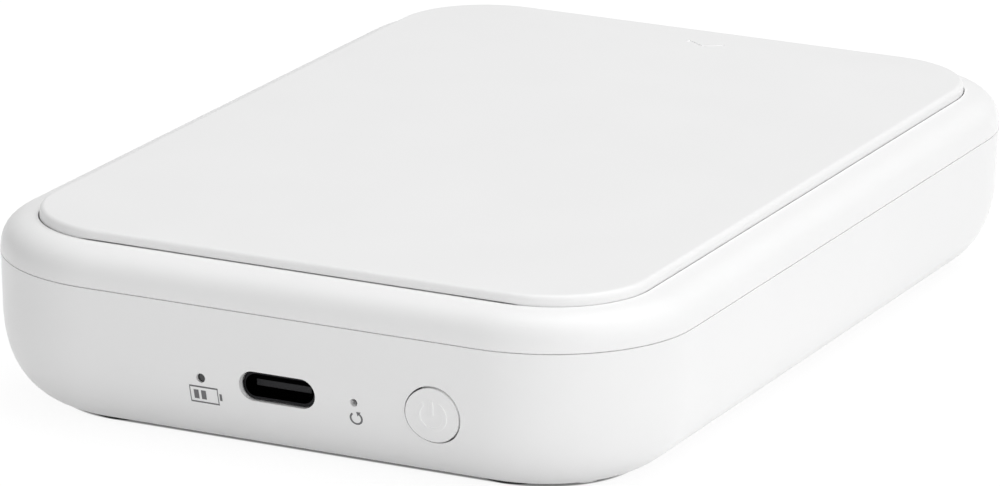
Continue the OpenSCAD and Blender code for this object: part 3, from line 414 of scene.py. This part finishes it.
def long_light_pipe():
    """The light pipe with its tip nearer to the front of the case, where the photograph shows it."""
    pipe = stand_in("light_pipe_long", "light_pipe", "case")
    tip_y = min(vertex.co.y for vertex in pipe.data.vertices)
    for vertex in pipe.data.vertices:
        if vertex.co.y < tip_y + TIP_DEPTH:
            vertex.co.y -= PIPE_REACH


# ---------------------------------------------------------------- printed marks

def stroke(points, width, closed=False):
    """A flat ribbon of that width along points in a plane, as a list of quads."""
    count = len(points)
    left, right = [], []
    for i, point in enumerate(points):
        before = points[i - 1] if closed or i > 0 else point
        after = points[(i + 1) % count] if closed or i < count - 1 else point
        along = (after - before).normalized()
        across = Vector((-along.y, along.x)) * width / 2
        left.append(point + across)
        right.append(point - across)
    quads = []
    for i in range(count if closed else count - 1):
        j = (i + 1) % count
        quads.append((left[i], left[j], right[j], right[i]))
    return quads


def arc(radius, start, end):
    """Points along an arc about the origin, angles in degrees."""
    angles = [math.radians(start + (end - start) * i / ARC_STEPS) for i in range(ARC_STEPS + 1)]
    return [Vector((radius * math.cos(a), radius * math.sin(a))) for a in angles]


def rectangle(x0, z0, x1, z1):
    """Corners of a rectangle in a plane, in millimetres."""
    return [Vector(p) * MM for p in ((x0, z0), (x1, z0), (x1, z1), (x0, z1))]


def charge_shape():
    """A battery with two bars in it, as polygons in a plane, 4 mm across."""
    shell = stroke(rectangle(-1.8, -0.95, 1.6, 0.95), MARK_STROKE, closed=True)
    pole = rectangle(1.8, -0.42, 2.1, 0.42)
    bars = [rectangle(x, -0.55, x + 0.6, 0.55) for x in (-1.35, -0.45)]
    return shell + [pole] + bars


def restart_shape():
    """An open ring with an arrow head, as polygons in a plane, about 1.7 mm across."""
    ring = arc(RING_RADIUS, RING_START, RING_END)
    start = math.radians(RING_START)
    out = Vector((math.cos(start), math.sin(start)))
    along = Vector((-math.sin(start), math.cos(start)))
    tip = ring[0]
    head = [tip - out * ARROW_HALF, tip + out * ARROW_HALF, tip + along * ARROW_LENGTH]
    return stroke(ring, MARK_STROKE) + [head]


def printed_mark(name, polygons, centre, material, skin):
    """Lays flat polygons on the front of the skin, following its curve, and lets them ride on the
    case. The centre is in millimetres."""
    build = bmesh.new()
    for polygon in polygons:
        places = [(centre[0] * MM + p.x, 0, centre[1] * MM + p.y) for p in polygon]
        build.faces.new([build.verts.new(place) for place in places])
    bmesh.ops.triangulate(build, faces=build.faces[:])
    while coarse := [edge for edge in build.edges if edge.calc_length() > MARK_STEP]:
        bmesh.ops.subdivide_edges(build, edges=coarse, cuts=1)
        bmesh.ops.triangulate(build, faces=build.faces[:])
    start_y = CAD_BOX[0][1] - MARK_RAYS
    for vertex in build.verts:
        start = Vector((vertex.co.x, start_y, vertex.co.z))
        hit, normal, _, _ = skin.ray_cast(start, Vector((0, 1, 0)))
        vertex.co = hit + normal * MARK_LIFT
    bmesh.ops.recalc_face_normals(build, faces=build.faces[:])
    mesh = bpy.data.meshes.new(name)
    build.to_mesh(mesh)
    build.free()
    mesh.materials.append(material)
    mark = new_object(name, mesh)
    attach(mark, "case")


def front_marks():
    """The small grey signs under the charge light and the reset hole."""
    grey = ink("grey_ink", (0.13, 0.13, 0.135))
    case = frame["nodes"]["bottom_case"].data
    skin = BVHTree.FromPolygons([v.co for v in case.vertices], [p.vertices for p in case.polygons])
    printed_mark("charge_sign", charge_shape(), CHARGE_MARK, grey, skin)
    printed_mark("reset_sign", restart_shape(), RESET_MARK, grey, skin)


# ---------------------------------------------------------------- studio

def white_to_camera(n, strength):
    """An emission that only camera, mirror and glass rays see, so that it lights nothing. Its strength
    is a number or a socket."""
    path = n.add("ShaderNodeLightPath")
    seen = n.math("MAXIMUM", path.outputs["Is Camera Ray"], path.outputs["Is Glossy Ray"])
    seen = n.math("MAXIMUM", seen, path.outputs["Is Transmission Ray"])
    return n.add("ShaderNodeEmission", Strength=n.math("MULTIPLY", seen, strength))


def outline_distance(n):
    """Distance out of the body's rounded outline on the floor, below 0 inside it."""
    half = Vector(CAD_BOX[1]) - Vector((OUTLINE_CORNER, OUTLINE_CORNER, 0))
    place = n.coords
    for operation, other in (("ABSOLUTE", None), ("SUBTRACT", (half.x, half.y, 0)),
                             ("MAXIMUM", (0, 0, 0)), ("LENGTH", None)):
        step = n.add("ShaderNodeVectorMath")
        step.operation = operation
        n.feed(step.inputs[0], place)
        if other:
            n.feed(step.inputs[1], other)
        place = step.outputs["Value" if operation == "LENGTH" else "Vector"]
    return n.math("SUBTRACT", place, OUTLINE_CORNER)


def floor():
    """A pale floor that bounces light up at the object. Its own glow makes it white in the picture,
    except in a painted shadow, a narrow dark line under the sole along the body's outline, and it
    keeps the object's soft shadow."""
    n = Nodes("floor_paint")
    path = n.add("ShaderNodeLightPath")
    shade = n.blend(path.outputs["Is Camera Ray"], rgba(FLOOR_BOUNCE), rgba(FLOOR_SEEN))
    # Painted shadow: the glow dims to a dark line just inside the body's outline
    level = n.ranged(outline_distance(n), PAINTED_SHADOW_LEVEL, FLOOR_GLOW, PAINTED_SHADOW_DARK, PAINTED_SHADOW_OPEN)
    glow = white_to_camera(n, level)
    paint = n.add("ShaderNodeBsdfDiffuse", Color=shade)
    both = n.add("ShaderNodeAddShader")
    n.feed(both.inputs[0], glow.outputs[0])
    n.feed(both.inputs[1], paint.outputs[0])
    n.feed(n.out.inputs["Surface"], both.outputs[0])
    mesh = bpy.data.meshes.new("floor")
    corners = [(x * FLOOR_REACH, y * FLOOR_REACH, 0) for x, y in ((-1, -1), (1, -1), (1, 1), (-1, 1))]
    mesh.from_pydata(corners, [], [(0, 1, 2, 3)])
    mesh.materials.append(n.material)
    new_object("floor", mesh)


def softbox(name, at, size, watts):
    """A square soft light at a place, turned to the object."""
    lamp = bpy.data.lights.new(name, "AREA")
    lamp.shape = "SQUARE"
    lamp.size = size
    lamp.energy = watts
    thing = new_object(name, lamp)
    thing.location = at
    toward = Vector(LAMP_TARGET) - Vector(at)
    thing.rotation_euler = toward.to_track_quat("-Z", "Y").to_euler()


def studio():
    """Pale surroundings that the camera sees as white, and soft lamps mostly from the right."""
    world = bpy.data.worlds.new("studio")
    bpy.context.scene.world = world
    world.use_nodes = True
    tree = world.node_tree
    path = tree.nodes.new("ShaderNodeLightPath")
    background = tree.nodes["Background"]
    seen = tree.nodes.new("ShaderNodeMath")
    seen.operation = "MAXIMUM"
    tree.links.new(path.outputs["Is Camera Ray"], seen.inputs[0])
    tree.links.new(path.outputs["Is Transmission Ray"], seen.inputs[1])
    level = tree.nodes.new("ShaderNodeMapRange")
    tree.links.new(seen.outputs[0], level.inputs["Value"])
    level.inputs["To Min"].default_value = SKY_LEVEL
    level.inputs["To Max"].default_value = 1.0
    background.inputs["Color"].default_value = rgba(1.0)
    tree.links.new(level.outputs["Result"], background.inputs["Strength"])
    for name, (at, size, watts) in LAMPS.items():
        softbox(name, at, size, watts)


def camera():
    """The camera at the photograph's viewing angle."""
    forward = Vector((-math.sin(CAMERA_YAW) * math.cos(CAMERA_PITCH),
                      math.cos(CAMERA_YAW) * math.cos(CAMERA_PITCH), math.sin(CAMERA_PITCH)))
    level_right = forward.cross(Vector((0, 0, 1))).normalized()
    level_up = level_right.cross(forward)
    right = level_right * math.cos(CAMERA_ROLL) + level_up * math.sin(CAMERA_ROLL)
    up = level_up * math.cos(CAMERA_ROLL) - level_right * math.sin(CAMERA_ROLL)
    data = bpy.data.cameras.new("camera")
    data.sensor_width = SENSOR
    data.sensor_fit = "HORIZONTAL"
    data.lens = FOCAL_PIXELS * SENSOR / IMAGE_W
    data.clip_start = CAMERA_NEAR
    data.clip_end = CAMERA_FAR
    eye = new_object("camera", data)
    turn = Matrix((right, up, -forward)).transposed().to_4x4()
    eye.matrix_world = Matrix.Translation(CAMERA_AT) @ turn
    bpy.context.scene.camera = eye


camera()
dress_nodes()
springs()
long_light_pipe()
front_marks()
floor()
studio()
bpy.context.scene.view_settings.view_transform = "Standard"
